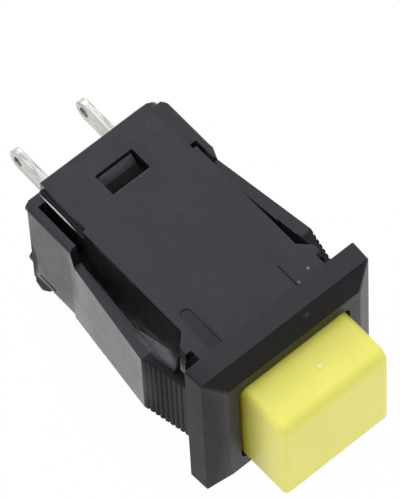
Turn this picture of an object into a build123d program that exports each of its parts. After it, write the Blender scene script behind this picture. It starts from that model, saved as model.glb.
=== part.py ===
from build123d import *
import os
from math import atan2, degrees, hypot

# Self-locking push button switch, millimetres.
# +X is to the right seen from the front, the button is pressed towards +Y, the label face looks up, +Z.
# The origin is the centre of the panel cut-out: the middle of the bezel's rear face.

os.makedirs("parts", exist_ok=True)

# ---------------------------------------------------------------- driving dimensions

# Bezel
bezel_width = 15.0
bezel_height = 15.0
bezel_rim = 1.6  # straight edge, from the panel forwards
bezel_depth = 2.5  # from the panel to the front flat
bezel_bevel = 1.6  # how far the mitred bevel comes in
bezel_draft = 2.5  # degrees, on the straight edge
bezel_corner = 0.15  # edge break at the four corners

# Barrel
barrel_width = 10.2
barrel_height = 11.6
barrel_length = 18.4
barrel_side_wall = 0.9
barrel_top_wall = 1.0
barrel_corner = 0.2  # chamfer at the rear
rebate_width = 0.3  # beside the rear of each plate, where the wings' roots leave
rebate_depth = 0.95
collar_flare = 1.0  # label plate flares out behind the bezel
collar_depth = 2.2
collar_notch = 0.55
throat_wall = 0.6  # beside the cap's pocket
groove_depth = 0.12  # relief slots in the label plate, open towards the bezel
wide_groove_x = -4.0
wide_groove_width = 0.9
wide_groove_rear = 4.4
fine_groove_x = 3.05
fine_groove_width = 0.14
fine_groove_rear = 2.65

# Button and its travel
button_travel = 3.0
cap_width = 9.4
cap_height = 9.1
cap_length = 5.2
cap_wall = 0.9
cap_inset = 0.9  # skirt inside the bezel when the button is out
cap_gap = 0.25  # all round, in the bezel's opening
cap_top_round = 1.0  # front edge of the finger face, above
cap_edge_round = 0.45  # every other outer edge
cap_rib_setback = 0.5  # ribs inside stop short of the skirt's end
gate_x = 0.55  # gate mark on top of the cap
gate_y = 2.35  # behind the cap's front
gate_radius = 0.22
gate_height = 0.05
pocket_play = 0.3  # behind the cap at full press

# Slider
slider_clearance = 0.15
partition = 0.8  # wall that stops the slider
stem_floor = 0.5  # solid part of the stem at the body
stem_rib_side = 0.8  # between the stem and the cap's side walls
stem_rib_top = 0.65  # between the stem and the cap's top and bottom walls
stem_clearance = 0.2
slider_body = 6.5
tongue_width = 2.5
tongue_height = 2.9
tongue_z = 2.4
tongue_seat = 0.9  # tongue between the body and the contact spring's window
tongue_play = 0.05  # round the bridge in the tongue's window
tongue_end = 0.65  # behind the window
tongue_side_play = 0.2  # in the rear base's recess
tongue_end_play = 0.3

# Return spring
spring_z = -2.2
spring_diameter = 3.6
spring_wire = 0.35
spring_turns = 5
wire_facets = 6  # the springs' round wire is drawn as a hexagon
spring_pocket_clearance = 0.25
spring_seat = 1.1  # slider's floor in front of the spring
post_clearance = 0.3  # inside the coil
post_height = 1.5

# Heart track and latch wire
track_z = -1.6
track_depth = 0.6
track_width = 0.64
channel_depth = 0.95
latch_wire_diameter = 0.5
latch_tip_inset = 0.65  # wire's tip, in front of the slider body's rear end
latch_pivot_inset = 0.85  # pivot, in front of the barrel's rear end
latch_swing = 0.95  # how far the tip rises at full press
channel_height = 3.5
channel_drop = 0.1  # channel's middle, below the tip at rest
channel_lead = 4.2  # channel in front of the tip at rest
wire_gap = 0.1  # between the wire's shank and the channel's floor
wire_bend = 0.3
pivot_pin = 0.9  # wire's bent end in the base
pivot_hole = 1.1
latch_notch_height = 2.6
latch_notch_floor = 0.2
leaf_thickness = 0.15
leaf_width = 1.6
leaf_gap = 0.03
leaf_inset = 0.25  # in front of the barrel's rear end
leaf_foot = 0.6  # flat length in front of the base
leaf_slope = 2.4
leaf_pad = 1.2
leaf_bend = 1.5

# Contacts
contact_gap = 1.6
bridge_thickness = 0.45
bridge_width = 1.7
bridge_length = 7.0
bridge_contact_x = 2.55
contact_diameter = 1.5
contact_height = 0.4
contact_shank = 0.8
contact_chamfer = 0.12
bridge_corner = 0.3
bridge_rivet_tail = 0.1
terminal_rivet_tail = 0.25
rivet_pocket = 0.5
contact_spring_diameter = 1.5
contact_spring_wire = 0.2
contact_spring_turns = 3
contact_spring_gap = 0.02  # at each end

# Terminals
terminal_spacing = 6.0
terminal_z = 1.0
terminal_width = 2.0
terminal_thickness = 0.5
terminal_reach = 4.9  # behind the flange
terminal_eye = 0.85
terminal_eye_edge = 0.85  # from the tip to the eye's centre
terminal_foot_height = 3.3
terminal_foot_edge = 0.8  # from the rivet's centre to the foot's inner edge
terminal_tip_flat = 0.05

# Rear base
base_clearance = 0.05
base_plug = 1.65  # part of the base inside the barrel
flange_lip = 0.4  # beside the barrel
flange_top = 3.4
flange_bottom = 4.6
flange_thickness = 0.6
flange_corner = 0.4
flange_lobe = 0.65  # radius of the ears at the flange's corners
ear_inset_top = 0.3
ear_inset_bottom = 0.2
shoulder_top = 4.6
shoulder_left = 2.1
shoulder_lip = 1.1  # beside the barrel
shoulder_round = 1.6
shoulder_break = 0.3
stake_radius = 0.28  # melted knobs on the shoulder's edge, eight-sided
stake_taper = 12  # degrees
stake_knobs = ((3.0, 4.45), (4.1, 4.5), (5.2, 4.25))
hook_width = 3.0
hook_thickness = 0.7
hook_reach = 1.55
hook_barb = 0.75
hook_clearance = 0.08
hook_nose_length = 0.35
hook_nose_height = 0.25
hook_catch = 0.06  # barb, in front of the window's rear edge
window_width = 3.3
window_length = 1.95
window_inset = 2.1  # rear edge, in front of the barrel's rear end

# Snap wings
wing_root_out = 1.3  # outer face where the wing leaves the barrel, from the barrel's side
wing_root_wall = 0.65
wing_root_break = 0.45
wing_root_sink = 0.2  # root into the barrel's wall
wing_root_top = 4.7
wing_root_length = 4.9
wing_root_round = 0.45  # top edge of the root
wing_root_hem = 0.45  # slope under the root
wing_top = 3.1
wing_apex_out = 2.55  # crest of the flare, from the barrel's side
wing_apex_y = 4.6
wing_apex_wall = 1.2
wing_knee = 0.6  # inner bend, behind the apex
wing_low_front = 3.7
wing_low_rear = 4.6
wing_end_out = 1.75
wing_end_y = 0.8
wing_end_wall = 0.7
wing_end_straight = 2.6
wing_shoulder = 0.5  # slope in front of the root's top
wing_teeth = 9
wing_groove_depth = 0.13  # between two teeth
wing_groove_half = 0.24  # half its width, as a share of a tooth's pitch
wing_web = 0.85
wing_lug = 1.1  # depth of the lug under the root
wing_lug_inset = 0.6  # in front of the barrel's rear end
wing_lug_length = 1.6
wing_lug_tip = 0.6
wing_lug_nose = 0.45
wing_slit_z = -3.55
wing_slit_width = 0.25
wing_slit_length = 1.7
rib_top = 5.0
rib_front = 2.2
rib_rear = 7.6
rib_foot = 0.6
rib_crest = 0.12
rib_sink = 0.3
root_roof = 0.8  # closes the right wing's root above
root_roof_inset = 0.9  # behind the root's front

# Running fit of the wire's pivot in the base, and loose fits of pressed parts
pivot_clearance = 0.04
slot_clearance = 0.02

# ---------------------------------------------------------------- places worked out from them

barrel_side = barrel_width / 2
collar_width = barrel_width + 2 * collar_flare
wing_root_x = barrel_side + wing_root_out
wing_apex_x = barrel_side + wing_apex_out
wing_end_x = barrel_side + wing_end_out
flange_width = barrel_width + 2 * flange_lip
shoulder_right = barrel_side + shoulder_lip
post_diameter = spring_diameter - 2 * spring_wire - 2 * post_clearance
stem_width = cap_width - 2 * (cap_wall + stem_rib_side)
stem_height = cap_height - 2 * (cap_wall + stem_rib_top)
opening_width = cap_width + 2 * cap_gap
opening_height = cap_height + 2 * cap_gap
cap_rear = -bezel_depth + cap_inset
cap_front = cap_rear - cap_length
pocket_rear = cap_rear + button_travel + pocket_play
slider_front = pocket_rear + partition
slider_rear = slider_front + slider_body
cavity_width = barrel_width - 2 * barrel_side_wall
cavity_height = barrel_height - 2 * barrel_top_wall
slider_width = cavity_width - 2 * slider_clearance
slider_height = cavity_height - 2 * slider_clearance
base_front = barrel_length - base_plug
flange_rear = barrel_length + flange_thickness
pivot_y = barrel_length - latch_pivot_inset
tip_y = slider_rear - latch_tip_inset
channel_x = slider_width / 2 - channel_depth
wire_x = channel_x + wire_gap + latch_wire_diameter / 2
tip_x = channel_x - track_depth + wire_gap
foot_rear = base_front
foot_front = foot_rear - terminal_thickness
fixed_contact_front = foot_front - contact_height
bridge_rear = fixed_contact_front - contact_gap - contact_height
bridge_front = bridge_rear - bridge_thickness
tongue_window_front = slider_rear + tongue_seat
foot_inner = bridge_contact_x - terminal_foot_edge
tongue_window_rear = bridge_rear + tongue_play
tongue_rear = tongue_window_rear + tongue_end
terminal_tip = flange_rear + terminal_reach
window_rear = barrel_length - window_inset
wing_root_front = barrel_length - wing_root_length
wing_lug_rear = barrel_length - wing_lug_inset


def across(y):
    """Plane across the push axis at y, seen from the front: extruding forwards is positive."""
    return Plane(origin=(0, y, 0), x_dir=(1, 0, 0), z_dir=(0, -1, 0))


def side(x):
    """Plane along the push axis at x, with local x towards the rear and local y up."""
    return Plane(origin=(x, 0, 0), x_dir=(0, 1, 0), z_dir=(1, 0, 0))


# ---------------------------------------------------------------- snap wing, part of the housing

wing_end_inner = wing_end_x - wing_end_wall
wing_root_inner = wing_root_x - wing_root_wall
wing_web_inner = barrel_side - wing_root_sink
tooth_x = (wing_end_x - wing_apex_x) / wing_teeth
tooth_y = (wing_end_y - wing_apex_y) / wing_teeth
ramp = [(wing_apex_x, wing_apex_y)]
for tooth in range(1, wing_teeth):
    for share, depth in ((-wing_groove_half, 0), (0, wing_groove_depth), (wing_groove_half, 0)):
        ramp.append((wing_apex_x + (tooth + share) * tooth_x - depth, wing_apex_y + (tooth + share) * tooth_y))

with BuildPart() as wing:
    # Outline in plan: root wall, flared arm, toothed ramp back to the bezel
    with BuildSketch(Plane.XY):
        with BuildLine():
            Polyline(
                (wing_web_inner, barrel_length),
                (wing_root_x - wing_root_break, barrel_length),
                (wing_root_x, barrel_length - wing_root_break),
                (wing_root_x, wing_root_front),
                *ramp,
                (wing_end_x, wing_end_y),
                (wing_end_inner, wing_end_y),
                (wing_end_inner, wing_end_y + wing_end_straight),
                (wing_apex_x - wing_apex_wall, wing_apex_y + wing_knee),
                (wing_root_inner, wing_root_front),
                (wing_root_inner, barrel_length - wing_web),
                (wing_web_inner, barrel_length - wing_web),
                close=True,
            )
        make_face()
    extrude(amount=bezel_height / 2, both=True)
    # Outline from the side
    with BuildSketch(side(0)):
        with BuildLine():
            Polyline(
                (barrel_length, wing_root_top),
                (wing_root_front, wing_root_top),
                (wing_root_front - wing_shoulder, wing_top),
                (0, wing_top),
                (0, -wing_low_front),
                (wing_apex_y, -wing_low_front),
                (wing_root_front, -wing_low_rear),
                (wing_lug_rear - wing_lug_length, -wing_low_rear),
                (wing_lug_rear - wing_lug_tip, -wing_low_rear - wing_lug),
                (wing_lug_rear, -wing_low_rear - wing_lug + wing_lug_nose),
                (wing_lug_rear, -wing_low_rear),
                (barrel_length, -wing_low_rear),
                close=True,
            )
        make_face()
    extrude(amount=bezel_width, mode=Mode.INTERSECT)
    # Rounded top edge of the root
    fillet(edges().filter_by(Axis.Y).group_by(Axis.X)[-1].sort_by(Axis.Z)[-1], wing_root_round)
    # Slope under the root, from the arm to the lug
    with BuildSketch(across(wing_root_front)):
        with BuildLine():
            Polyline(
                (wing_root_x - wing_root_hem, -wing_low_rear),
                (wing_root_x, -wing_low_rear),
                (wing_root_x, -wing_low_rear + wing_root_hem),
                close=True,
            )
        make_face()
    extrude(amount=-(wing_root_length - wing_lug_inset - wing_lug_length), mode=Mode.SUBTRACT)
    # Inner rib: a wedge that rises towards the bezel and stiffens the free end
    with BuildSketch(across(rib_front), mode=Mode.PRIVATE) as rib:
        with BuildLine():
            Polyline(
                (wing_end_inner, wing_top - rib_sink),
                (wing_end_inner + rib_foot, wing_top - rib_sink),
                (wing_end_inner + rib_foot, wing_top),
                (wing_end_inner + rib_crest, rib_top),
                (wing_end_inner, rib_top),
                close=True,
            )
        make_face()
    loft(sections=[rib.sketch.faces()[0], Vertex(wing_apex_x - wing_apex_wall, rib_rear, wing_top - rib_sink)])
    # Slit above the lug on the root's lower edge
    with BuildSketch(side(wing_root_inner)):
        with Locations((wing_lug_rear - wing_lug_tip - wing_slit_length / 2, wing_slit_z)):
            Rectangle(wing_slit_length, wing_slit_width)
    extrude(amount=wing_root_wall, mode=Mode.SUBTRACT)

# ---------------------------------------------------------------- housing

with BuildPart() as housing:
    # Bezel: straight drafted edge, then the mitred bevel up to the front flat
    with BuildSketch(across(0)):
        Rectangle(bezel_width, bezel_height)
        chamfer(vertices(), bezel_corner)
    extrude(amount=bezel_rim, taper=bezel_draft)
    bezel_face = faces().sort_by(Axis.Y)[0]
    with BuildSketch(across(-bezel_depth), mode=Mode.PRIVATE) as flat:
        Rectangle(bezel_width - 2 * bezel_bevel, bezel_height - 2 * bezel_bevel)
        chamfer(vertices(), bezel_corner)
    loft(sections=[bezel_face, flat.sketch.faces()[0]], ruled=True)
    # Barrel
    with BuildSketch(across(0)):
        Rectangle(barrel_width, barrel_height)
    extrude(amount=-barrel_length)
    # Throat that walls the cap's pocket
    with BuildSketch(across(0)):
        Rectangle(opening_width + 2 * throat_wall, barrel_height)
    extrude(amount=-slider_front)
    # Label plate and its twin underneath flare out to the collar behind the bezel
    for level in (barrel_height / 2 - barrel_top_wall, -barrel_height / 2):
        with BuildSketch(Plane.XY.offset(level)):
            with BuildLine():
                Polyline(
                    (-barrel_side, collar_depth + collar_flare),
                    (-collar_width / 2, collar_depth),
                    (-collar_width / 2, 0),
                    (collar_width / 2, 0),
                    (collar_width / 2, collar_depth),
                    (barrel_side, collar_depth + collar_flare),
                    close=True,
                )
            make_face()
            with Locations((-collar_width / 2, collar_depth / 2), (collar_width / 2, collar_depth / 2)):
                Rectangle(2 * collar_notch, collar_depth / 2, mode=Mode.SUBTRACT)
        extrude(amount=barrel_top_wall)
    # Relief slots in the label plate
    slot_plane = Plane.XY.offset(barrel_height / 2)
    with BuildSketch(slot_plane):
        for x, width, rear in (
            (wide_groove_x, wide_groove_width, wide_groove_rear),
            (fine_groove_x, fine_groove_width, fine_groove_rear),
        ):
            with Locations((x, (rear - width / 2) / 2)):
                Rectangle(width, rear - width / 2)
            with Locations((x, rear - width / 2)):
                Circle(width / 2)
    extrude(amount=-groove_depth, mode=Mode.SUBTRACT)
    # Barrel's rear corners and the rebate beside the rear of each plate
    chamfer(edges().filter_by(Axis.Z).group_by(Axis.Y)[-1], barrel_corner)
    with BuildSketch(across(barrel_length)):
        with Locations(
            (-barrel_width / 2, barrel_height / 2),
            (barrel_width / 2, barrel_height / 2),
            (-barrel_width / 2, -barrel_height / 2),
            (barrel_width / 2, -barrel_height / 2),
        ):
            Rectangle(2 * rebate_width, 2 * rebate_depth)
    extrude(amount=barrel_length - wing_root_front, mode=Mode.SUBTRACT)
    # Snap wings, one each side
    add(wing.part)
    add(mirror(wing.part, about=Plane.YZ))
    # Roof over the right wing's root
    roof_left = barrel_side - rebate_width
    roof_right = wing_root_x - wing_root_round
    roof_front = wing_root_front + root_roof_inset
    with BuildSketch(Plane.XY.offset(wing_root_top)):
        with Locations(((roof_left + roof_right) / 2, (roof_front + barrel_length) / 2)):
            Rectangle(roof_right - roof_left, barrel_length - roof_front)
    extrude(amount=-root_roof)
    # Opening for the cap, opening for the stem, slider's cavity
    with BuildSketch(across(-bezel_depth)):
        RectangleRounded(opening_width, opening_height, cap_edge_round + cap_gap)
    extrude(amount=-(bezel_depth + pocket_rear), mode=Mode.SUBTRACT)
    with BuildSketch(across(pocket_rear)):
        Rectangle(stem_width + 2 * stem_clearance, stem_height + 2 * stem_clearance)
    extrude(amount=-partition, mode=Mode.SUBTRACT)
    with BuildSketch(across(slider_front)):
        Rectangle(cavity_width, cavity_height)
    extrude(amount=-(barrel_length - slider_front), mode=Mode.SUBTRACT)
    # Catch windows for the rear base's hooks
    with BuildSketch(Plane.XY):
        with Locations((0, window_rear - window_length / 2)):
            Rectangle(window_width, window_length)
    extrude(amount=barrel_height, both=True, mode=Mode.SUBTRACT)
housing.part.label = "housing"
export_step(housing.part, "parts/housing.step")

# ---------------------------------------------------------------- button cap

cap_ring = (cap_width - 2 * cap_wall, cap_height - 2 * cap_wall)
with BuildPart() as button_cap:
    with BuildSketch(across(cap_rear)):
        Rectangle(cap_width, cap_height)
    extrude(amount=cap_length)
    front_edges = edges().filter_by(Axis.X).group_by(Axis.Y)[0].sort_by(Axis.Z)
    fillet(front_edges[-1], cap_top_round)
    fillet(edges().filter_by(Axis.Y) + front_edges[:1], cap_edge_round)
    # Hollow from behind, with four ribs that grip the slider's stem
    with BuildSketch(across(cap_rear)):
        Rectangle(*cap_ring)
    extrude(amount=cap_length - cap_wall, mode=Mode.SUBTRACT)
    with BuildSketch(across(cap_rear - cap_rib_setback)):
        with Locations((0, (cap_ring[1] - stem_rib_top) / 2), (0, -(cap_ring[1] - stem_rib_top) / 2)):
            Rectangle(cap_wall, stem_rib_top)
        with Locations(((cap_ring[0] - stem_rib_side) / 2, 0), (-(cap_ring[0] - stem_rib_side) / 2, 0)):
            Rectangle(stem_rib_side, cap_wall)
    extrude(amount=cap_length - cap_wall - cap_rib_setback)
    # Gate mark
    with BuildSketch(Plane.XY.offset(cap_height / 2)):
        with Locations((gate_x, cap_front + gate_y)):
            Circle(gate_radius)
    extrude(amount=gate_height)
button_cap.part.label = "button_cap"
export_step(button_cap.part, "parts/button_cap.step")

# ---------------------------------------------------------------- slider with the heart track

# Groove's centre line in the slider, as (towards the rear, up) from the wire's tip at rest
full_in = (-button_travel, latch_swing)
locked = (-2.0, -0.2)
released = (-2.75, -0.8)
way_back = [(-1.75, -1.15), (-0.8, -0.8), (0, 0)]
heart_track = [(0, 0), full_in, locked, released, *way_back]
stem_front = cap_front + cap_wall
with BuildPart() as slider:
    with BuildSketch(across(stem_front)):
        Rectangle(stem_width, stem_height)
    extrude(amount=-(slider_front - stem_front))
    with BuildSketch(across(slider_front)):
        Rectangle(slider_width, slider_height)
    extrude(amount=-slider_body)
    # Tongue behind the body, which carries the contact bridge in a window
    with BuildSketch(across(slider_rear)):
        with Locations((0, tongue_z)):
            Rectangle(tongue_width, tongue_height)
    extrude(amount=-(tongue_rear - slider_rear))
    # Core of the stem
    with BuildSketch(across(stem_front)):
        Rectangle(stem_width - 2 * cap_wall, stem_height - 2 * cap_wall)
    extrude(amount=-(slider_front - stem_front - stem_floor), mode=Mode.SUBTRACT)
    # Window through the tongue: the bridge lies at its rear end, the contact spring in front of it
    with BuildSketch(side(-tongue_width / 2)):
        with Locations(((tongue_window_rear + tongue_window_front) / 2, tongue_z)):
            Rectangle(tongue_window_rear - tongue_window_front, bridge_width + 2 * tongue_play)
    extrude(amount=tongue_width, mode=Mode.SUBTRACT)
    # Pocket for the return spring
    with BuildSketch(across(slider_rear)):
        with Locations((0, spring_z)):
            Circle(spring_diameter / 2 + spring_pocket_clearance)
    extrude(amount=slider_body - spring_seat, mode=Mode.SUBTRACT)
    # Channel for the latch wire's shank, and the heart track in the channel's floor
    channel_length = slider_rear - tip_y + channel_lead
    with BuildSketch(side(slider_width / 2)):
        with Locations((slider_rear - channel_length / 2, track_z - channel_drop)):
            Rectangle(channel_length, channel_height)
    extrude(amount=-channel_depth, mode=Mode.SUBTRACT)
    with BuildSketch(side(channel_x)):
        for start, end in zip(heart_track, heart_track[1:]):
            run = (end[0] - start[0], end[1] - start[1])
            with Locations((tip_y + (start[0] + end[0]) / 2, track_z + (start[1] + end[1]) / 2)):
                SlotCenterToCenter(hypot(*run), track_width, rotation=degrees(atan2(run[1], run[0])))
    extrude(amount=-track_depth, mode=Mode.SUBTRACT)
slider.part.label = "slider"
export_step(slider.part, "parts/slider.step")

# ---------------------------------------------------------------- rear base

with BuildPart() as rear_base:
    with BuildSketch(across(base_front)):
        Rectangle(cavity_width - 2 * base_clearance, cavity_height - 2 * base_clearance)
    extrude(amount=-base_plug)
    # Flange behind the barrel, with an ear at each corner
    with BuildSketch(across(barrel_length)):
        with Locations((0, (flange_top - flange_bottom) / 2)):
            RectangleRounded(flange_width, flange_top + flange_bottom, flange_corner)
        with Locations(
            (-flange_width / 2 + ear_inset_top, flange_top - flange_lobe),
            (flange_width / 2 - ear_inset_top, flange_top - flange_lobe),
            (-flange_width / 2 + ear_inset_bottom, -flange_bottom + flange_lobe),
            (flange_width / 2 - ear_inset_bottom, -flange_bottom + flange_lobe),
        ):
            Circle(flange_lobe)
    extrude(amount=-flange_thickness)
    # Raised shoulder at the right, staked to the wing's root
    with BuildSketch(across(barrel_length)):
        with Locations(((shoulder_left + shoulder_right) / 2, shoulder_top / 2)):
            Rectangle(shoulder_right - shoulder_left, shoulder_top)
        fillet(vertices().group_by(Axis.X)[0], shoulder_break)
        fillet(vertices().group_by(Axis.X)[-1], shoulder_round)
    extrude(amount=-flange_thickness)
    with BuildSketch(across(barrel_length)):
        with Locations(*stake_knobs):
            RegularPolygon(stake_radius, 8)
    extrude(amount=-flange_thickness, taper=stake_taper)
    # Hooks that snap out into the catch windows, above and below
    hook_top = cavity_height / 2 - hook_clearance
    hook_front = window_rear - hook_reach
    with BuildSketch(side(-hook_width / 2)):
        with BuildLine():
            Polyline(
                (base_front, hook_top - hook_thickness),
                (hook_front, hook_top - hook_thickness),
                (hook_front, hook_top - hook_nose_height),
                (hook_front + hook_nose_length, hook_top),
                (window_rear - hook_catch, hook_top + hook_barb),
                (window_rear - hook_catch, hook_top),
                (base_front, hook_top),
                close=True,
            )
        make_face()
    hook = extrude(amount=hook_width)
    mirror(hook, about=Plane.XY)
    # Post that centres the return spring
    with BuildSketch(across(base_front)):
        with Locations((0, spring_z)):
            Circle(post_diameter / 2)
    extrude(amount=post_height)
    # Recess that the slider's tongue enters at full press
    recess = tongue_rear + button_travel + tongue_end_play - base_front
    with BuildSketch(across(base_front)):
        with Locations((0, tongue_z)):
            Rectangle(tongue_width + 2 * tongue_side_play, tongue_height + 2 * tongue_side_play)
    extrude(amount=-recess, mode=Mode.SUBTRACT)
    # Slots for the terminals and pockets for their rivets' tails
    with BuildSketch(across(base_front)):
        with Locations((-terminal_spacing / 2, terminal_z), (terminal_spacing / 2, terminal_z)):
            Rectangle(terminal_thickness + 2 * slot_clearance, terminal_width + 2 * slot_clearance)
    extrude(amount=-(flange_rear - base_front), mode=Mode.SUBTRACT)
    with BuildSketch(across(base_front)):
        with Locations((-bridge_contact_x, tongue_z), (bridge_contact_x, tongue_z)):
            Circle(contact_diameter / 2)
    extrude(amount=-rivet_pocket, mode=Mode.SUBTRACT)
    # Notch for the latch wire and its leaf, and the wire's pivot hole
    with BuildSketch(across(base_front)):
        with Locations(((channel_x + cavity_width / 2) / 2, track_z)):
            Rectangle(cavity_width / 2 - channel_x, latch_notch_height)
    extrude(amount=-(base_plug - latch_notch_floor), mode=Mode.SUBTRACT)
    with BuildSketch(side(channel_x)):
        with Locations((pivot_y, track_z)):
            Circle(latch_wire_diameter / 2 + pivot_clearance)
    extrude(amount=-pivot_hole, mode=Mode.SUBTRACT)
rear_base.part.label = "rear_base"
export_step(rear_base.part, "parts/rear_base.step")

# ---------------------------------------------------------------- springs

spring_front = slider_front + spring_seat + spring_wire / 2
spring_rear = base_front - spring_wire / 2
coil_radius = (spring_diameter - spring_wire) / 2
with BuildPart() as return_spring:
    with BuildLine() as coil:
        Helix(
            pitch=(spring_rear - spring_front) / spring_turns,
            height=spring_rear - spring_front,
            radius=coil_radius,
            center=(0, spring_front, spring_z),
            direction=(0, 1, 0),
        )
    with BuildSketch(Plane(origin=coil.line @ 0, z_dir=coil.line % 0)):
        RegularPolygon(spring_wire / 2, wire_facets)
    sweep(is_frenet=True)
return_spring.part.label = "return_spring"
export_step(return_spring.part, "parts/return_spring.step")

small_front = tongue_window_front + contact_spring_wire / 2 + contact_spring_gap
small_rear = bridge_front - contact_spring_wire / 2 - contact_spring_gap
with BuildPart() as contact_spring:
    with BuildLine() as small_coil:
        Helix(
            pitch=(small_rear - small_front) / contact_spring_turns,
            height=small_rear - small_front,
            radius=(contact_spring_diameter - contact_spring_wire) / 2,
            center=(0, small_front, tongue_z),
            direction=(0, 1, 0),
        )
    with BuildSketch(Plane(origin=small_coil.line @ 0, z_dir=small_coil.line % 0)):
        RegularPolygon(contact_spring_wire / 2, wire_facets)
    sweep(is_frenet=True)
contact_spring.part.label = "contact_spring"
export_step(contact_spring.part, "parts/contact_spring.step")

# ---------------------------------------------------------------- latch wire and leaf

with BuildPart() as latch_wire:
    with BuildLine() as bend:
        FilletPolyline(
            (tip_x, tip_y, track_z),
            (wire_x, tip_y, track_z),
            (wire_x, pivot_y, track_z),
            (channel_x - pivot_pin, pivot_y, track_z),
            radius=wire_bend,
        )
    with BuildSketch(Plane(origin=bend.line @ 0, z_dir=bend.line % 0)):
        Circle(latch_wire_diameter / 2)
    sweep()
latch_wire.part.label = "latch_wire"
export_step(latch_wire.part, "parts/latch_wire.step")

leaf_in = wire_x + (latch_wire_diameter + leaf_thickness) / 2 + leaf_gap
leaf_out = cavity_width / 2 - leaf_thickness / 2 - slot_clearance
with BuildPart() as latch_leaf_spring:
    with BuildSketch(Plane.XY.offset(track_z - leaf_width / 2)):
        with BuildLine() as leaf:
            FilletPolyline(
                (leaf_out, barrel_length - leaf_inset),
                (leaf_out, base_front - leaf_foot),
                (leaf_in, base_front - leaf_foot - leaf_slope),
                (leaf_in, base_front - leaf_foot - leaf_slope - leaf_pad),
                radius=leaf_bend,
            )
        trace(leaf.line, line_width=leaf_thickness)
    extrude(amount=leaf_width)
latch_leaf_spring.part.label = "latch_leaf_spring"
export_step(latch_leaf_spring.part, "parts/latch_leaf_spring.step")

# ---------------------------------------------------------------- contact bridge and its rivets

with BuildPart() as contact_bridge:
    with BuildSketch(across(bridge_front)):
        with Locations((0, tongue_z)):
            RectangleRounded(bridge_length, bridge_width, bridge_corner)
        with Locations((-bridge_contact_x, tongue_z), (bridge_contact_x, tongue_z)):
            Circle(contact_shank / 2 + slot_clearance, mode=Mode.SUBTRACT)
    extrude(amount=-bridge_thickness)
contact_bridge.part.label = "contact_bridge"
export_step(contact_bridge.part, "parts/contact_bridge.step")

for name, hand in (("left", -1), ("right", 1)):
    # Rivet through the bridge, its face towards the rear
    with BuildPart() as bridge_contact:
        with BuildSketch(across(bridge_rear)):
            with Locations((hand * bridge_contact_x, tongue_z)):
                Circle(contact_diameter / 2)
        extrude(amount=-contact_height)
        chamfer(edges().group_by(Axis.Y)[-1], contact_chamfer)
        with BuildSketch(across(bridge_rear)):
            with Locations((hand * bridge_contact_x, tongue_z)):
                Circle(contact_shank / 2)
        extrude(amount=bridge_thickness + bridge_rivet_tail)
    bridge_contact.part.label = "bridge_contact_" + name
    export_step(bridge_contact.part, "parts/bridge_contact_" + name + ".step")

    # Rivet through the terminal's foot, its face towards the front
    with BuildPart() as terminal_contact:
        with BuildSketch(across(foot_front)):
            with Locations((hand * bridge_contact_x, tongue_z)):
                Circle(contact_diameter / 2)
        extrude(amount=contact_height)
        chamfer(edges().group_by(Axis.Y)[0], contact_chamfer)
        with BuildSketch(across(foot_front)):
            with Locations((hand * bridge_contact_x, tongue_z)):
                Circle(contact_shank / 2)
        extrude(amount=-(terminal_thickness + terminal_rivet_tail))
    terminal_contact.part.label = "terminal_contact_" + name
    export_step(terminal_contact.part, "parts/terminal_contact_" + name + ".step")

    # Terminal: flat tab through the base, with a foot bent inwards for the rivet
    outer = terminal_spacing / 2 + terminal_thickness / 2
    with BuildPart() as terminal:
        with BuildSketch(side(hand * terminal_spacing / 2)):
            with Locations(((foot_rear + terminal_tip) / 2, terminal_z)):
                Rectangle(terminal_tip - foot_rear, terminal_width)
        extrude(amount=terminal_thickness / 2, both=True)
        fillet(edges().filter_by(Axis.X).group_by(Axis.Y)[-1], terminal_width / 2 - terminal_tip_flat)
        with BuildSketch(side(0)):
            with Locations((terminal_tip - terminal_eye_edge, terminal_z)):
                Circle(terminal_eye / 2)
        extrude(amount=bezel_width, both=True, mode=Mode.SUBTRACT)
        with BuildSketch(across(foot_rear)):
            with Locations((hand * (outer + foot_inner) / 2, terminal_z + (terminal_foot_height - terminal_width) / 2)):
                Rectangle(outer - foot_inner, terminal_foot_height)
            with Locations((hand * bridge_contact_x, tongue_z)):
                Circle(contact_shank / 2 + slot_clearance, mode=Mode.SUBTRACT)
        extrude(amount=terminal_thickness)
    terminal.part.label = "terminal_" + name
    export_step(terminal.part, "parts/terminal_" + name + ".step")
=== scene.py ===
import math

import bpy
import numpy as np
from mathutils import Matrix, Vector


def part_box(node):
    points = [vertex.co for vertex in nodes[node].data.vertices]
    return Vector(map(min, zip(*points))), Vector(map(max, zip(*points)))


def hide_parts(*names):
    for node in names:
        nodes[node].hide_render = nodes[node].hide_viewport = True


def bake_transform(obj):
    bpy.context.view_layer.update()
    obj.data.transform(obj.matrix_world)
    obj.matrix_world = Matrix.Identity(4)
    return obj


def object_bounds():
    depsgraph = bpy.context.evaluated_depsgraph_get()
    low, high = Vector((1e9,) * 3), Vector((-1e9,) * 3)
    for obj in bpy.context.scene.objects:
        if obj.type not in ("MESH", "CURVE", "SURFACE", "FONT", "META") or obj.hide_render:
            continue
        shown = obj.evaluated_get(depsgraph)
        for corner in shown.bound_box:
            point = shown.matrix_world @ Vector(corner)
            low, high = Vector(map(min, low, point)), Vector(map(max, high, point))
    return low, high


# Looks of a self-locking push button switch, in metres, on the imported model's frame.

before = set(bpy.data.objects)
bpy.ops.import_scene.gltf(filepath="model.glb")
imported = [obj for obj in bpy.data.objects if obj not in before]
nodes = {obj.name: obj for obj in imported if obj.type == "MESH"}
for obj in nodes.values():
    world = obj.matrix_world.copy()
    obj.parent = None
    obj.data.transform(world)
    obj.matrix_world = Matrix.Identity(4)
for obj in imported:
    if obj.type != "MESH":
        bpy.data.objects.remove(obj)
cad_low, cad_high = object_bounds()
mm = 0.001

# A Mix node's sockets go by number, because several of them share a name
mix_factor, number_a, number_b, colour_a, colour_b = 0, 2, 3, 6, 7
mixed_number, mixed_colour = 0, 2

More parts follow.
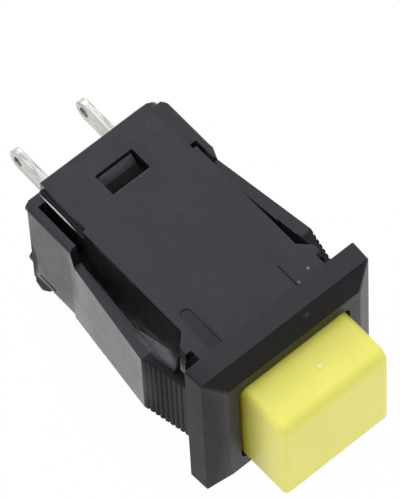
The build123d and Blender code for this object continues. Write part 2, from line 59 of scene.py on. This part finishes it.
# Most of a noise's values lie between these
usual_noise = (0.3, 0.7)

# A spot is whole up to this share of its radius and fades from there
spot_core = 0.6

# Painted shade: the deep black of the pockets, the cavity, the ratchets and the inside of the
# barrel
painted_shade_black = (0.004, 0.004, 0.005)
# Painted shade: the deeper yellow of the cap near the bezel
painted_shade_yellow = (0.38, 0.34, 0.015)
# Painted shade: the dark walls of the terminals' holes
painted_hole_shade = (0.05, 0.048, 0.045)


# ---------------------------------------------------------------- material building blocks

def material(name):
    """A new material, its node tree and its Principled shader."""
    made = bpy.data.materials.new(name)
    made.use_nodes = True
    tree = made.node_tree
    return made, tree, tree.nodes["Principled BSDF"]


def node(tree, kind, **values):
    """Adds a node; each value is a socket's name with its number, or a property of the node."""
    made = tree.nodes.new(kind)
    for key, value in values.items():
        if key in made.inputs:
            made.inputs[key].default_value = value
        else:
            setattr(made, key, value)
    return made


def feed(tree, value, target, field):
    """Links a socket to a node's input, or sets the input to a number or a colour."""
    entry = target.inputs[field]
    if isinstance(value, bpy.types.NodeSocket):
        tree.links.new(value, entry)
    else:
        entry.default_value = (*value, 1) if entry.type == "RGBA" else value


def arithmetic(tree, operation, *terms):
    """One step of arithmetic on sockets and numbers."""
    made = node(tree, "ShaderNodeMath", operation=operation)
    for field, term in enumerate(terms):
        feed(tree, term, made, field)
    return made.outputs[0]


def mapped(tree, socket, low, high, first, last, **how):
    """Takes values between low and high to values between first and last."""
    made = node(tree, "ShaderNodeMapRange", **how)
    for field, value in zip(("From Min", "From Max", "To Min", "To Max"), (low, high, first, last)):
        made.inputs[field].default_value = value
    feed(tree, socket, made, "Value")
    return made.outputs["Result"]


def tint(tree, factor, under, over):
    """Lays one colour over another where the factor is 1."""
    mix = node(tree, "ShaderNodeMix", data_type="RGBA")
    for field, value in ((mix_factor, factor), (colour_a, under), (colour_b, over)):
        feed(tree, value, mix, field)
    return mix.outputs[mixed_colour]


def blend_numbers(tree, factor, under, over):
    """Goes from one number to another as the factor goes from 0 to 1."""
    mix = node(tree, "ShaderNodeMix", data_type="FLOAT")
    for field, value in ((mix_factor, factor), (number_a, under), (number_b, over)):
        feed(tree, value, mix, field)
    return mix.outputs[mixed_number]


def axes_of(tree, vector):
    """The X, Y and Z sockets of a vector."""
    made = node(tree, "ShaderNodeSeparateXYZ")
    feed(tree, vector, made, "Vector")
    return made.outputs


def noise(tree, place, grain, detail=2.0, stretch=(1, 1, 1)):
    """Noise whose blobs are about grain metres wide, drawn out along the axes by stretch."""
    local = node(tree, "ShaderNodeMapping", Scale=[1 / (grain * s) for s in stretch])
    pattern = node(tree, "ShaderNodeTexNoise", Scale=1.0, Detail=detail)
    feed(tree, place.outputs["Object"], local, "Vector")
    feed(tree, local.outputs["Vector"], pattern, "Vector")
    return pattern.outputs["Fac"]


def spot(tree, place, middle, size):
    """1 inside an ellipsoid given in millimetres, fading to 0 at its surface."""
    local = node(
        tree, "ShaderNodeMapping",
        Scale=[1 / (s * mm) for s in size], Location=[-m / s for m, s in zip(middle, size)],
    )
    feed(tree, place.outputs["Object"], local, "Vector")
    reach = node(tree, "ShaderNodeVectorMath", operation="LENGTH")
    feed(tree, local.outputs["Vector"], reach, 0)
    return mapped(tree, reach.outputs["Value"], spot_core, 1.0, 1.0, 0.0)


def relief(tree, shader, height, depth, strength, edge):
    """A grain of depth metres on a surface whose edges look rounded, edge metres wide."""
    rounded = node(tree, "ShaderNodeBevel", samples=8, Radius=edge)
    bump = node(tree, "ShaderNodeBump", Strength=strength, Distance=depth)
    feed(tree, height, bump, "Height")
    feed(tree, rounded.outputs["Normal"], bump, "Normal")
    feed(tree, bump.outputs["Normal"], shader, "Normal")


# ---------------------------------------------------------------- finishes

def duller(tree, zone, gloss, pattern, roughness):
    """Roughness inside a zone, uneven by a pattern; gloss is the roughness outside it."""
    coarse = mapped(tree, pattern, *usual_noise, roughness - 0.03, roughness + 0.03)
    return blend_numbers(tree, zone, gloss, coarse)


def moulded_plastic(name, dark, light, roughness, zones=(), marks=(), smears=()):
    """Black moulded plastic: fine eroded grain, faint flow marks, edges a little rounded.

    A zone lies in front of one limit and further out than another, and has its own roughness and
    colour, which is painted shade. A mark is an ellipsoid's middle and size, the width of its
    crumbs, how much of it they cover and their colour; some marks are real rubbing and specks, the
    others painted highlights and painted shade. Faces that look inwards are painted deep black as
    painted shade. A smear is an ellipsoid's middle and size, and its roughness. Places, sizes and
    widths are in millimetres.
    """
    made, tree, shader = material(name)
    shader.inputs["IOR"].default_value = 1.53
    shader.inputs["Specular Tint"].default_value = (0.96, 0.88, 1.0, 1)
    place = node(tree, "ShaderNodeTexCoord")
    flow = noise(tree, place, 2.5 * mm, 3.0, (1, 2, 1))
    colour = tint(tree, mapped(tree, flow, 0.35, 0.65, 0.0, 1.0), dark, light)
    rub = noise(tree, place, 0.9 * mm, 4.0)
    gloss = mapped(tree, rub, *usual_noise, roughness - 0.05, roughness + 0.07)
    axes = axes_of(tree, place.outputs["Object"])
    facing = axes_of(tree, place.outputs["Normal"])
    outward = arithmetic(tree, "ABSOLUTE", axes["X"])
    # Each zone is duller, and painted darker as painted shade
    for front_limit, inner_limit, dull, shade in zones:
        front = arithmetic(tree, "LESS_THAN", axes["Y"], front_limit * mm)
        apart = arithmetic(tree, "GREATER_THAN", outward, inner_limit * mm)
        zone = arithmetic(tree, "MULTIPLY", front, apart)
        colour = tint(tree, zone, colour, shade)
        gloss = duller(tree, zone, gloss, rub, dull)
    # Faces that look inwards, in the pockets behind the wings and in the cavity, stay dull and are
    # painted deep black as painted shade: there the place and the normal point to opposite sides
    lean = arithmetic(tree, "MULTIPLY", axes["X"], facing["X"])
    inner = arithmetic(tree, "LESS_THAN", lean, -2.5 * mm)
    colour = tint(tree, inner, colour, painted_shade_black)
    gloss = duller(tree, inner, gloss, rub, 0.9)
    # Marks lay real specks and rubbing, and also painted highlights and painted shade
    for middle, size, crumb, cover, shade in marks:
        pattern = noise(tree, place, crumb * mm, 4.0)
        crumbs = mapped(tree, pattern, 0.92 - cover, 1.08 - cover, 0.0, 1.0)
        marked = arithmetic(tree, "MULTIPLY", spot(tree, place, middle, size), crumbs)
        colour = tint(tree, marked, colour, shade)
    for middle, size, dull in smears:
        gloss = duller(tree, spot(tree, place, middle, size), gloss, rub, dull)
    feed(tree, colour, shader, "Base Color")
    feed(tree, gloss, shader, "Roughness")
    relief(tree, shader, noise(tree, place, 0.07 * mm), 0.006 * mm, 0.35, 0.09 * mm)
    return made


def button_plastic(name):
    """Yellow plastic that lets a little light through, with a faint cloudiness and a gate mark.

    Its colour is painted deeper towards the skirt, as painted shade from the bezel round it: a long
    way up the faces that look sideways, and a little all round.
    """
    made, tree, shader = material(name)
    place = node(tree, "ShaderNodeTexCoord")
    cloud = mapped(tree, noise(tree, place, 3 * mm), *usual_noise, 0.0, 1.0)
    colour = tint(tree, cloud, (0.83, 0.80, 0.15), (0.87, 0.84, 0.165))
    axes = axes_of(tree, place.outputs["Object"])
    facing = axes_of(tree, place.outputs["Normal"])
    sideways = arithmetic(tree, "ABSOLUTE", facing["X"])
    skirt = -2.3 * mm
    # Painted shade near the skirt: strong on the sideways faces, faint all round
    for reach, most, faces in ((3.4 * mm, 0.9, sideways), (0.7 * mm, 0.35, 1.0)):
        depth = mapped(
            tree, axes["Y"], skirt - reach, skirt, 0.0, most, interpolation_type="SMOOTHSTEP",
        )
        colour = tint(tree, arithmetic(tree, "MULTIPLY", depth, faces), colour, painted_shade_yellow)
    gate = spot(tree, place, (0.55, -4.45, 4.57), (0.28, 0.28, 0.28))
    colour = tint(tree, gate, colour, (0.93, 0.91, 0.42))
    feed(tree, colour, shader, "Base Color")
    shader.inputs["Subsurface Weight"].default_value = 0.2
    shader.inputs["Subsurface Radius"].default_value = (1.0, 0.9, 0.35)
    shader.inputs["Subsurface Scale"].default_value = 0.6 * mm
    rub = noise(tree, place, 0.8 * mm, 3.0)
    feed(tree, mapped(tree, rub, *usual_noise, 0.34, 0.44), shader, "Roughness")
    relief(tree, shader, noise(tree, place, 0.12 * mm), 0.004 * mm, 0.25, 0.5 * mm)
    return made


def stamped_metal(name, colour, roughness, run=(1, 12, 1), streak=0.0, holes=()):
    """Rolled and stamped strip: fine lines along the rolling direction, and dulled patches.

    A streak darkens the strip along the same direction. A hole is the middle and size in
    millimetres of an ellipsoid round it, and its walls are painted dark as painted shade.
    """
    made, tree, shader = material(name)
    place = node(tree, "ShaderNodeTexCoord")
    patch = mapped(tree, noise(tree, place, 0.8 * mm, 3.0), *usual_noise, 0.0, 1.0)
    mixed = tint(tree, patch, [c * 0.86 for c in colour], colour)
    if streak:
        drawn = mapped(tree, noise(tree, place, 0.16 * mm, 2.0, run), 0.5, 0.62, 0.0, streak)
        mixed = tint(tree, drawn, mixed, [c * 0.45 for c in colour])
    # Painted shade on the walls of the holes
    for middle, size in holes:
        mixed = tint(tree, spot(tree, place, middle, size), mixed, painted_hole_shade)
    feed(tree, mixed, shader, "Base Color")
    shader.inputs["Metallic"].default_value = 1.0
    lines = noise(tree, place, 0.08 * mm, 3.0, run)
    gloss = mapped(tree, lines, *usual_noise, roughness - 0.06, roughness + 0.1)
    feed(tree, gloss, shader, "Roughness")
    relief(tree, shader, lines, 0.004 * mm, 0.3, 0.08 * mm)
    return made


def plain_plastic(name, colour, roughness):
    """Slippery natural plastic of the slider, with a faint grain."""
    made, tree, shader = material(name)
    place = node(tree, "ShaderNodeTexCoord")
    cloud = mapped(tree, noise(tree, place, 1.5 * mm), *usual_noise, 0.0, 1.0)
    feed(tree, tint(tree, cloud, [c * 0.93 for c in colour], colour), shader, "Base Color")
    shader.inputs["Roughness"].default_value = roughness
    relief(tree, shader, noise(tree, place, 0.1 * mm), 0.005 * mm, 0.3, 0.08 * mm)
    return made


# The ratchets beside the barrel, then the bezel with its collar, which lies over them: both duller,
# and painted darker as painted shade
housing_painted_shade_zones = [
    (4.55, 6.0, 0.85, painted_shade_black),
    (0.85, 0.0, 0.5, (0.005, 0.005, 0.006)),
]
# In this order: the rubbed corner of the label plate, two specks beside the narrow slot, one on
# the upper bevel, a mottled painted highlight on the slope of the left rib, the mottled left root,
# a painted highlight along the edge of the ledge above it, and painted shade on the floor of the
# wide slot
housing_marks_and_painted_light = [
    ((4.0, 17.0, 5.8), (0.9, 1.25, 0.4), 0.18, 0.42, (0.028, 0.028, 0.032)),
    ((4.48, 1.23, 5.8), (0.13, 0.15, 0.2), 1.0, 1.0, (0.17, 0.17, 0.18)),
    ((3.31, 0.82, 5.8), (0.11, 0.13, 0.2), 1.0, 1.0, (0.15, 0.15, 0.16)),
    ((1.65, -1.93, 6.91), (0.24, 0.14, 0.2), 0.2, 0.6, (0.045, 0.045, 0.04)),
    ((-6.5, 4.6, 4.0), (0.6, 2.9, 1.2), 0.2, 0.66, (0.11, 0.11, 0.12)),
    ((-6.4, 15.6, 1.5), (0.6, 2.6, 3.4), 0.35, 0.5, (0.03, 0.03, 0.034)),
    ((-5.1, 16.3, 4.83), (0.1, 2.15, 0.1), 2.0, 1.0, (0.80, 0.80, 0.84)),
    ((-4.0, 1.6, 5.75), (0.75, 3.3, 0.4), 1.0, 1.0, (0.002, 0.002, 0.003)),
]
# In this order: the dull left of the bezel and its rubbed right, the left wing's arm, its root,
# and the root's melted lower and rear edges
housing_smears = [
    ((-7.3, -0.6, 0), (1.9, 3.4, 12), 0.68),
    ((7.3, -1.4, 0), (2.4, 2.6, 12), 0.43),
    ((-7.2, 8.6, -0.4), (1.4, 5.6, 6.5), 0.28),
    ((-6.4, 15.6, 0.4), (0.6, 3.4, 6.0), 0.4),
    ((-6.4, 16.4, -4.75), (0.5, 3.2, 0.75), 0.9),
    ((-6.4, 18.0, -2.2), (0.5, 0.7, 2.6), 0.75),
]
# The base is rough inside the barrel and painted deep black there as painted shade, and its hook
# is painted lighter as painted light where the window shows it
base_painted_shade_zones = [(15.6, 0.0, 0.9, painted_shade_black)]
base_painted_light = [((0, 16.75, 5.3), (3.2, 1.2, 1.6), 0.25, 1.0, (0.05, 0.05, 0.056))]
eyelets = [((x, 23.05, 1.0), (0.6, 0.5, 0.5)) for x in (-3.0, 3.0)]

black = moulded_plastic(
    "black_moulding", (0.0115, 0.011, 0.0138), (0.0155, 0.0146, 0.0184), 0.17,
    housing_painted_shade_zones, housing_marks_and_painted_light, housing_smears,
)
base_black = moulded_plastic(
    "base_moulding", (0.009, 0.0086, 0.0105), (0.012, 0.0115, 0.014), 0.34,
    base_painted_shade_zones, base_painted_light,
)
yellow = button_plastic("yellow_cap")
natural = plain_plastic("natural_slider", (0.72, 0.71, 0.67), 0.45)
steel = stamped_metal("spring_wire", (0.56, 0.56, 0.57), 0.3)
brass = stamped_metal("bridge_strip", (0.75, 0.56, 0.28), 0.32, (12, 1, 1))
silver = stamped_metal("contact_rivets", (0.85, 0.85, 0.84), 0.25)
tinned = stamped_metal("tinned_strip", (0.71, 0.70, 0.67), 0.42, (1, 10, 1), 0.7, eyelets)

finishes = {
    "housing": black,
    "rear_base": base_black,
    "button_cap": yellow,
    "slider": natural,
    "return_spring": steel,
    "contact_spring": steel,
    "latch_wire": steel,
    "latch_leaf_spring": steel,
    "contact_bridge": brass,
    "bridge_contact_left": silver,
    "bridge_contact_right": silver,
    "terminal_contact_left": silver,
    "terminal_contact_right": silver,
    "terminal_left": tinned,
    "terminal_right": tinned,
}
for name, finish in finishes.items():
    for slot in nodes[name].material_slots:
        slot.material = finish


# ---------------------------------------------------------------- springs that follow the button

def coil_spring(name, plain, thickness, turns):
    """A compression spring in place of the plain one, with a closed turn at each end.

    The wire's middle goes round a circle and climbs from end to end, by little more than a wire's
    thickness in the closed turns and evenly between them. A ring of points is carried along it,
    square to it: outwards by the cosine and across by the sine of the angle round the wire.
    """
    steps, sides = 24, 12
    low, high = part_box(plain)
    middle = (low + high) / 2
    radius = (high.x - low.x - thickness) / 2
    length = high.y - low.y - thickness
    closed = 1.06 * thickness
    turn = np.linspace(0, turns + 2, steps * (turns + 2) + 1)
    climb = np.interp(turn, [0, 1, turns + 1, turns + 2], [0, closed, length - closed, length])
    angle = math.tau * turn
    outward = np.stack([np.cos(angle), np.zeros_like(angle), np.sin(angle)], axis=1)
    line = outward * radius
    line[:, 1] = climb
    line += (middle.x, low.y + thickness / 2, middle.z)
    along = np.gradient(line, axis=0)
    along /= np.linalg.norm(along, axis=1, keepdims=True)
    outward -= along * np.sum(outward * along, axis=1, keepdims=True)
    outward /= np.linalg.norm(outward, axis=1, keepdims=True)
    across = np.cross(along, outward)
    round_wire = (np.arange(sides) * math.tau / sides)[:, None]
    ring = outward[:, None] * np.cos(round_wire) + across[:, None] * np.sin(round_wire)
    points = (line[:, None] + ring * thickness / 2).reshape(-1, 3)
    start = np.arange(len(turn) - 1)[:, None] * sides
    here = start + np.arange(sides)
    after = start + (np.arange(sides) + 1) % sides
    quads = np.stack([here, after, after + sides, here + sides], axis=2).reshape(-1, 4)
    last = (len(turn) - 1) * sides
    ends = [list(range(sides))[::-1], list(range(last, last + sides))]
    mesh = bpy.data.meshes.new(name)
    mesh.from_pydata(points.tolist(), [], quads.tolist() + ends)
    mesh.polygons.foreach_set("use_smooth", [True] * len(quads) + [False] * len(ends))
    mesh.materials.append(steel)
    coil = bpy.data.objects.new(name, mesh)
    bpy.context.scene.collection.objects.link(coil)
    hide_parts(plain)
    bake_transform(coil)


coil_spring("return_coil", "return_spring", 0.35 * mm, 5)
coil_spring("contact_coil", "contact_spring", 0.2 * mm, 3)


# ---------------------------------------------------------------- floor, light and camera

def rays(tree, *kinds):
    """1 for light rays of the kinds that are named, and 0 for all others."""
    path = node(tree, "ShaderNodeLightPath")
    chosen = path.outputs[kinds[0]]
    for kind in kinds[1:]:
        chosen = arithmetic(tree, "MAXIMUM", chosen, path.outputs[kind])
    return chosen


def slope(tree, direction, weights, low, high, first, last):
    """Light that runs from first to last along a direction in the studio."""
    along = node(tree, "ShaderNodeVectorMath", operation="DOT_PRODUCT")
    along.inputs[1].default_value = weights
    feed(tree, direction.outputs["Generated"], along, 0)
    return mapped(
        tree, along.outputs["Value"], low, high, first, last, interpolation_type="SMOOTHSTEP",
    )


centre = (cad_low + cad_high) / 2
floor_reach, floor_sides = 75 * mm, 96
outline = [
    (centre.x + floor_reach * math.cos(a), centre.y + floor_reach * math.sin(a), cad_low.z)
    for a in [math.tau * k / floor_sides for k in range(floor_sides)]
]
sheet = bpy.data.meshes.new("floor")
sheet.from_pydata(outline, [], [list(range(floor_sides))])
floor = bpy.data.objects.new("floor", sheet)
bpy.context.scene.collection.objects.link(floor)

# Seen directly, through glass or in a reflection, the floor is nearly all its own white, and the
# rest of it keeps the shadow
own_white = 0.98
paper, tree, shader = material("pale_floor")
shader.inputs["Base Color"].default_value = (0.94, 0.94, 0.94, 1)
shader.inputs["Roughness"].default_value = 0.9
shader.inputs["Specular IOR Level"].default_value = 0.0
glow = node(tree, "ShaderNodeEmission", Strength=1.0)
lit = node(tree, "ShaderNodeMixShader")
seen = rays(tree, "Is Camera Ray", "Is Transmission Ray", "Is Glossy Ray")
feed(tree, arithmetic(tree, "MULTIPLY", seen, own_white), lit, "Fac")
feed(tree, shader.outputs["BSDF"], lit, 1)
feed(tree, glow.outputs["Emission"], lit, 2)
feed(tree, lit.outputs["Shader"], tree.nodes["Material Output"], "Surface")
sheet.materials.append(paper)

# The room lights the switch mostly from above. Reflections see a studio that is white above and
# behind and dark in front, and the background is white.
world = bpy.data.worlds.new("studio")
world.use_nodes = True
bpy.context.scene.world = world
tree = world.node_tree
sky = tree.nodes["Background"]
direction = node(tree, "ShaderNodeTexCoord")
studio = slope(tree, direction, (0, 0.75, 1), -0.45, 1.0, 0.04, 1.0)
room = slope(tree, direction, (0.1, 0.2, 0.95), -0.9, 1.0, 0.13, 1.17)
light = blend_numbers(tree, rays(tree, "Is Glossy Ray"), room, studio)
seen = rays(tree, "Is Camera Ray", "Is Transmission Ray")
feed(tree, blend_numbers(tree, seen, light, 1.0), sky, "Strength")
sky.inputs["Color"].default_value = (1, 1, 1, 1)


def softbox(name, place, size, power):
    """A square area lamp that looks at the switch's middle."""
    lamp = bpy.data.lights.new(name, "AREA")
    lamp.size = size
    lamp.energy = power
    box = bpy.data.objects.new(name, lamp)
    aim = (centre - Vector(place)).to_track_quat("-Z", "Y").to_matrix().to_4x4()
    box.matrix_world = Matrix.Translation(place) @ aim
    bpy.context.scene.collection.objects.link(box)


softbox("rear", (0.08, 0.32, 0.24), 0.24, 0.32)

# The camera stands in front of the switch, to its left and well above it, far off on a long lens
camera_place = (-0.1164, -0.14334, 0.33938)
view_back = Vector((-0.3029, -0.3918, 0.8687))
view_up = Vector((0.5775, 0.6497, 0.4944))
view_right = view_up.cross(view_back).normalized()
view_up = view_back.cross(view_right).normalized()
lens = bpy.data.cameras.new("camera")
lens.sensor_width = 36
lens.lens = 407.45
lens.clip_start = 0.05
lens.clip_end = 5
camera = bpy.data.objects.new("camera", lens)
turn = Matrix((view_right, view_up, view_back.normalized())).transposed().to_4x4()
camera.matrix_world = Matrix.Translation(camera_place) @ turn
bpy.context.scene.collection.objects.link(camera)
bpy.context.scene.camera = camera
bpy.context.scene.view_settings.view_transform = "Standard"
